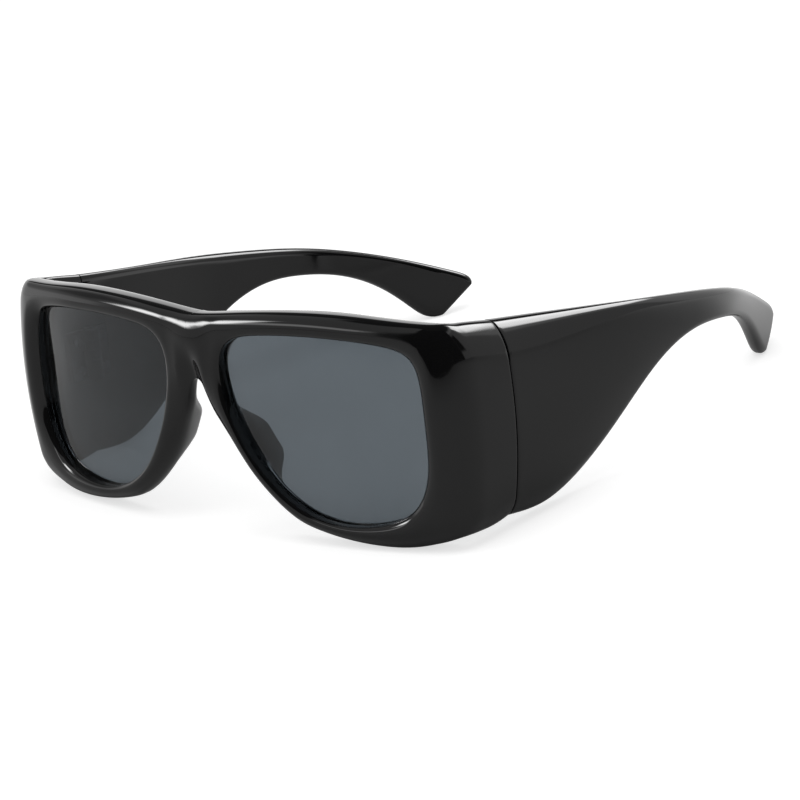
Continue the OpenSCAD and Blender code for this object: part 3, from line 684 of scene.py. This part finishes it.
handlingMarks = buildHandlingMarks()


def newMaterial(name):
    material = bpy.data.materials.new(name)
    material.use_nodes = True
    tree = material.node_tree
    return material, tree, tree.nodes["Principled BSDF"]


def marksIn(tree, look):
    node = place(tree, "ShaderNodeGroup", node_tree=handlingMarks)
    for key in ("Scratch Scale", "Smudge Scale", "Dust Scale"):
        if key in look:
            node.inputs[key].default_value = look[key]
    return node


def blendColour(tree, fac, a, b):
    node = place(tree, "ShaderNodeMix", data_type="RGBA")
    tree.links.new(fac, node.inputs["Factor"])
    node.inputs["A"].default_value = (*a, 1)
    node.inputs["B"].default_value = (*b, 1)
    return node.outputs["Result"]


def spread(tree, fac, low, high):
    node = place(tree, "ShaderNodeMapRange")
    tree.links.new(fac, node.inputs["Value"])
    node.inputs["To Min"].default_value = low
    node.inputs["To Max"].default_value = high
    return node.outputs[0]


def bumped(tree, shader, height, look):
    bump = place(tree, "ShaderNodeBump", Strength=look["bumpStrength"], Distance=look["bumpDistance"])
    tree.links.new(height, bump.inputs["Height"])
    tree.links.new(bump.outputs[0], shader.inputs["Normal"])


polishedBlack = {
    "colour": (0.0016, 0.0016, 0.0018), "faded": (0.0026, 0.0026, 0.0028), "ior": 1.5,
    "smoothness": (0.035, 0.085), "scratched": 0.12,  # roughness clean and smudged, and what a scratch adds
    "rippleScale": 90.0, "scratchHeight": -0.05, "dustHeight": 0.04,
    "bumpStrength": 0.5, "bumpDistance": 0.00006,
    "Scratch Scale": 260.0, "Smudge Scale": 40.0, "Dust Scale": 1100.0,
}


def makePlastic(name, look):
    material, tree, shader = newMaterial(name)
    marks = marksIn(tree, look)
    tree.links.new(blendColour(tree, marks.outputs["Smudges"], look["colour"], look["faded"]),
                   shader.inputs["Base Color"])
    rough = spread(tree, marks.outputs["Smudges"], *look["smoothness"])
    rough = maths(tree, "ADD", rough, maths(tree, "MULTIPLY", marks.outputs["Scratches"], look["scratched"]))
    tree.links.new(rough, shader.inputs["Roughness"])
    # moulded plastic is never quite flat: a faint long ripple under the scratches
    ripple = place(tree, "ShaderNodeTexNoise", Scale=look["rippleScale"], Detail=1.0)
    tree.links.new(place(tree, "ShaderNodeTexCoord").outputs["Object"], ripple.inputs["Vector"])
    height = ripple.outputs[0]
    for mark, share in (("Scratches", look["scratchHeight"]), ("Dust", look["dustHeight"])):
        height = maths(tree, "ADD", height, maths(tree, "MULTIPLY", marks.outputs[mark], share))
    bumped(tree, shader, height, look)
    shader.inputs["IOR"].default_value = look["ior"]
    return material


smokeLens = {
    "tint": (0.126, 0.150, 0.170), "smudgeTint": 1.06, "smoothness": (0.0, 0.006), "ior": 1.5,
    "bumpStrength": 0.06, "bumpDistance": 0.00001,
    "Scratch Scale": 200.0, "Smudge Scale": 55.0, "Dust Scale": 800.0,
}


def makeLensMaterial(name, look):
    material, tree, shader = newMaterial(name)
    marks = marksIn(tree, look)
    smudged = tuple(c * look["smudgeTint"] for c in look["tint"])
    tree.links.new(blendColour(tree, marks.outputs["Smudges"], look["tint"], smudged),
                   shader.inputs["Base Color"])
    tree.links.new(spread(tree, marks.outputs["Smudges"], *look["smoothness"]), shader.inputs["Roughness"])
    bumped(tree, shader, marks.outputs["Scratches"], look)
    shader.inputs["Transmission Weight"].default_value = 1.0
    shader.inputs["IOR"].default_value = look["ior"]
    return material


brushedSteel = {
    "colour": (0.045, 0.046, 0.050), "worn": (0.09, 0.09, 0.095), "smoothness": (0.30, 0.48),
    "grain": (1, 0.05, 1), "grainScale": 900.0, "scratchHeight": -0.6,
    "bumpStrength": 0.35, "bumpDistance": 0.00003,
    "Scratch Scale": 420.0, "Smudge Scale": 120.0,
}
turnedSteel = {
    **brushedSteel,
    "colour": (0.10, 0.10, 0.11), "worn": (0.18, 0.18, 0.19), "smoothness": (0.22, 0.40),
    "grain": (1, 1, 0.05),
    "Scratch Scale": 700.0, "Smudge Scale": 220.0,
}


def makeSteel(name, look):
    material, tree, shader = newMaterial(name)
    marks = marksIn(tree, look)
    tree.links.new(blendColour(tree, marks.outputs["Smudges"], look["colour"], look["worn"]),
                   shader.inputs["Base Color"])
    tree.links.new(spread(tree, marks.outputs["Smudges"], *look["smoothness"]), shader.inputs["Roughness"])
    mapping = place(tree, "ShaderNodeMapping")
    mapping.inputs["Scale"].default_value = look["grain"]
    tree.links.new(place(tree, "ShaderNodeTexCoord").outputs["Object"], mapping.inputs["Vector"])
    lines = place(tree, "ShaderNodeTexNoise", Scale=look["grainScale"], Detail=2.0)
    tree.links.new(mapping.outputs[0], lines.inputs["Vector"])
    scratches = maths(tree, "MULTIPLY", marks.outputs["Scratches"], look["scratchHeight"])
    bumped(tree, shader, maths(tree, "ADD", lines.outputs[0], scratches), look)
    shader.inputs["Metallic"].default_value = 1.0
    return material


def giveMaterial(obj, material):
    if not obj.material_slots:
        obj.data.materials.append(material)
    for holder in obj.material_slots:
        holder.material = material


plastic = makePlastic("polishedBlackPlastic", polishedBlack)
lensMaterial = makeLensMaterial("smokeLens", smokeLens)
hingeSteel = makeSteel("brushedHingeSteel", brushedSteel)
screwSteel = makeSteel("turnedScrewSteel", turnedSteel)
for piece in [frontPiece] + templePieces:
    giveMaterial(piece, plastic)
for piece in lensPieces:
    giveMaterial(piece, lensMaterial)
for name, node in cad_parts.items():  # hinges and screws stay the source's own solids
    if "leaf_screws" in name or "hinge_screw" in name:
        giveMaterial(node, screwSteel)
    elif name.startswith("hinge"):
        giveMaterial(node, hingeSteel)
print("materials given")


# White table and studio light
studio = {
    "middle": (0, 0.07, 0.02),
    "roomLight": 0.55,  # what the white room gives to the shading, while it shows as 1
    "tableSize": 6.0, "tableColour": 0.5, "tableRoughness": 0.9,
    # The table glows a little, to be white in the plain light. How much depends on what looks at
    # it: the camera, near the glasses and far off (distances in metres), and through a lens
    "tableGlow": 0.66, "farGlow": 0.76, "farFrom": 0.3, "farTo": 1.2, "throughGlow": 0.3,
    # In the gloss the glow is painted light: it shows only on the side away from this direction (degrees,
    # then the cosines between which it comes in), which leaves painted shade on that side, and it is left out
    # between the temples (metres)
    "shadeTowards": 34, "shadeFrom": -0.03, "shadeTo": -0.42,
    "innerMiddle": (-0.02, 0.14, 0), "innerNear": 0.06, "innerFar": 0.1,
}


def rayIs(tree, *kinds):
    rays = place(tree, "ShaderNodeLightPath")
    share = rays.outputs[kinds[0]]
    for kind in kinds[1:]:
        share = maths(tree, "MAXIMUM", share, rays.outputs[kind])
    return share


def smoothStep(tree, value, start, end, low, high):
    node = place(tree, "ShaderNodeMapRange", interpolation_type="SMOOTHSTEP")
    tree.links.new(value, node.inputs["Value"])
    for key, number in (("From Min", start), ("From Max", end), ("To Min", low), ("To Max", high)):
        node.inputs[key].default_value = number
    return node.outputs[0]


def vectorMaths(tree, operation, a, b=None):
    node = place(tree, "ShaderNodeVectorMath", operation=operation)
    tree.links.new(a, node.inputs[0])
    if b is not None:
        node.inputs[1].default_value = b
    return node.outputs["Value" if operation in ("DOT_PRODUCT", "DISTANCE") else "Vector"]


def tableGlow(tree):
    spot = place(tree, "ShaderNodeTexCoord").outputs["Object"]
    turn = math.radians(studio["shadeTowards"])
    away = vectorMaths(tree, "NORMALIZE", vectorMaths(tree, "SUBTRACT", spot, studio["middle"]))
    towards = vectorMaths(tree, "DOT_PRODUCT", away, (math.sin(turn), -math.cos(turn), 0))
    reach = vectorMaths(tree, "DISTANCE", spot, studio["innerMiddle"])
    # painted light on the table as the gloss sees it, away from the shade direction, with painted shade
    # towards it and none between the temples
    beyond = smoothStep(tree, towards, studio["shadeTo"], studio["shadeFrom"], 1, 0)
    outer = smoothStep(tree, reach, studio["innerNear"], studio["innerFar"], 0, 1)
    glossPaintedLight = maths(tree, "MULTIPLY", maths(tree, "MULTIPLY", beyond, outer), studio["tableGlow"])
    cameraGlow = smoothStep(tree, reach, studio["farFrom"], studio["farTo"],
                            studio["tableGlow"], studio["farGlow"])
    # a ray that a lens lets through counts as a glossy one too, and is taken out of those
    through = rayIs(tree, "Is Transmission Ray")
    mirrored = maths(tree, "SUBTRACT", rayIs(tree, "Is Glossy Ray"), through, clamp=True)
    glow = maths(tree, "MULTIPLY", rayIs(tree, "Is Camera Ray"), cameraGlow)
    for kind, strength in ((mirrored, glossPaintedLight), (through, studio["throughGlow"])):
        glow = maths(tree, "MAXIMUM", glow, maths(tree, "MULTIPLY", kind, strength))
    return glow


def makeTable():
    bm = bmesh.new()
    bmesh.ops.create_grid(bm, x_segments=24, y_segments=24, size=studio["tableSize"] / 2)
    mesh = bpy.data.meshes.new("table")
    bm.to_mesh(mesh)
    bm.free()
    table = bpy.data.objects.new("table", mesh)
    table.location.z = -0.0001
    scene.collection.objects.link(table)
    material, tree, shader = newMaterial("whiteTable")
    shader.inputs["Base Color"].default_value = [studio["tableColour"]] * 3 + [1]
    shader.inputs["Roughness"].default_value = studio["tableRoughness"]
    shader.inputs["Specular IOR Level"].default_value = 0.0
    shader.inputs["Emission Color"].default_value = (1, 1, 1, 1)
    tree.links.new(tableGlow(tree), shader.inputs["Emission Strength"])
    giveMaterial(table, material)


def makeRoom():
    world = bpy.data.worlds.new("whiteRoom")
    world.use_nodes = True
    tree = world.node_tree
    seen = rayIs(tree, "Is Camera Ray", "Is Glossy Ray", "Is Transmission Ray")
    strength = maths(tree, "ADD", maths(tree, "MULTIPLY", seen, 1 - studio["roomLight"]), studio["roomLight"])
    background = tree.nodes["Background"]
    background.inputs["Color"].default_value = (1, 1, 1, 1)
    tree.links.new(strength, background.inputs["Strength"])
    scene.world = world


# Panels and flags that only the gloss shows, as in a product studio. Degrees round from straight in
# front towards the wearer's left, degrees up, softness of the edge in degrees, brightness, distance
studioCards = {
    "ceiling": (-180, 180, 40, 90, 8, 0.08, 2.9),
    "leftWall": (-104, -12, -5, 64, 4, 0.52, 2.8),
    "leftShade": (-94, -62, 17, 44, 8, 0.26, 2.7),
    "leftPanel": (-112, -56, -6, 17, 6, 1.0, 2.6),
    "rightWall": (98, 152, -5, 40, 4, 0.52, 2.8),
    "frontFlag": (-16, 113, -5, 62, 4, 0.05, 2.7),
    "cornerFlag": (108, 128, 7, 34, 4, 0.05, 2.6),
    "backLeftFlag": (-172, -104, 14, 62, 6, 0.07, 2.7),
    "keyPanel": (-62, -42, 18, 36, 7, 16.0, 2.4),
    "keySide": (-46, -14, 17, 27, 4, 2.6, 2.5),
    "rimPanel": (154, 190, 24, 41, 5, 10.0, 2.5),
}


def makeCardMaterial(name, brightness):
    material = bpy.data.materials.new(name)
    material.use_nodes = True
    tree = material.node_tree
    tree.nodes.clear()
    cover = place(tree, "ShaderNodeAttribute", attribute_name="cover")
    clear = place(tree, "ShaderNodeBsdfTransparent")
    glow = place(tree, "ShaderNodeEmission", Strength=brightness)
    mixed = place(tree, "ShaderNodeMixShader")
    for socket, given in zip(mixed.inputs, (cover.outputs["Fac"], clear.outputs[0], glow.outputs[0])):
        tree.links.new(given, socket)
    tree.links.new(mixed.outputs[0], place(tree, "ShaderNodeOutputMaterial").inputs[0])
    return material


# Angles over a card's spread, at most about a degree and a half apart
def cardAngles(start, end):
    return np.radians(np.linspace(start, end, max(2, int((end - start) / 1.5)) + 1))


def makeCards():
    for name, (left, right, low, high, soft, brightness, distance) in studioCards.items():
        t, e = np.meshgrid(cardAngles(left, right), cardAngles(low, high))
        points = np.stack([np.sin(t) * np.cos(e), -np.cos(t) * np.cos(e), np.sin(e)], -1)
        # a card that closes on itself, or at the top, has no edge there
        edge = np.degrees(e) - low
        if high < 90:
            edge = np.minimum(edge, high - np.degrees(e))
        if right - left < 360:
            edge = np.minimum(edge, np.minimum(np.degrees(t) - left, right - np.degrees(t)))
        rowN, columnN = t.shape
        faces = [(i * columnN + j, i * columnN + j + 1, (i + 1) * columnN + j + 1, (i + 1) * columnN + j)
                 for i in range(rowN - 1) for j in range(columnN - 1)]
        mesh = bpy.data.meshes.new(name)
        mesh.from_pydata((points * distance + studio["middle"]).reshape(-1, 3).tolist(), [], faces)
        cover = mesh.attributes.new("cover", "FLOAT", "POINT")
        cover.data.foreach_set("value", ramp(edge / soft).reshape(-1).astype(np.float32))
        card = bpy.data.objects.new(name, mesh)
        scene.collection.objects.link(card)
        giveMaterial(card, makeCardMaterial(name, brightness))
        for kind in ("camera", "diffuse", "transmission", "volume_scatter", "shadow"):
            setattr(card, "visible_" + kind, False)


# The lamps' places, the points aimed at, widths, heights and watts
lamps = {
    "skyPanel": ((0.1, 0.0, 0.9), (0, 0.05, 0), 0.9, 0.6, 4.0),
    "leftLamp": ((-0.9, -0.5, 0.5), (0, 0.03, 0.03), 0.5, 0.9, 2.0),
}


def makeLamps():
    for name, (spot, aim, width, height, watts) in lamps.items():
        data = bpy.data.lights.new(name, "AREA")
        data.shape = "RECTANGLE"
        data.size, data.size_y = width, height
        data.energy = watts
        lamp = bpy.data.objects.new(name, data)
        lamp.location = spot
        lamp.rotation_euler = (Vector(aim) - Vector(spot)).to_track_quat("-Z", "Y").to_euler()
        lamp.visible_glossy = False  # the cards stand for it in the gloss
        lamp.visible_transmission = False
        scene.collection.objects.link(lamp)


makeTable()
makeRoom()
makeCards()
makeLamps()
scene.view_settings.view_transform = "Standard"
print("table and light set")
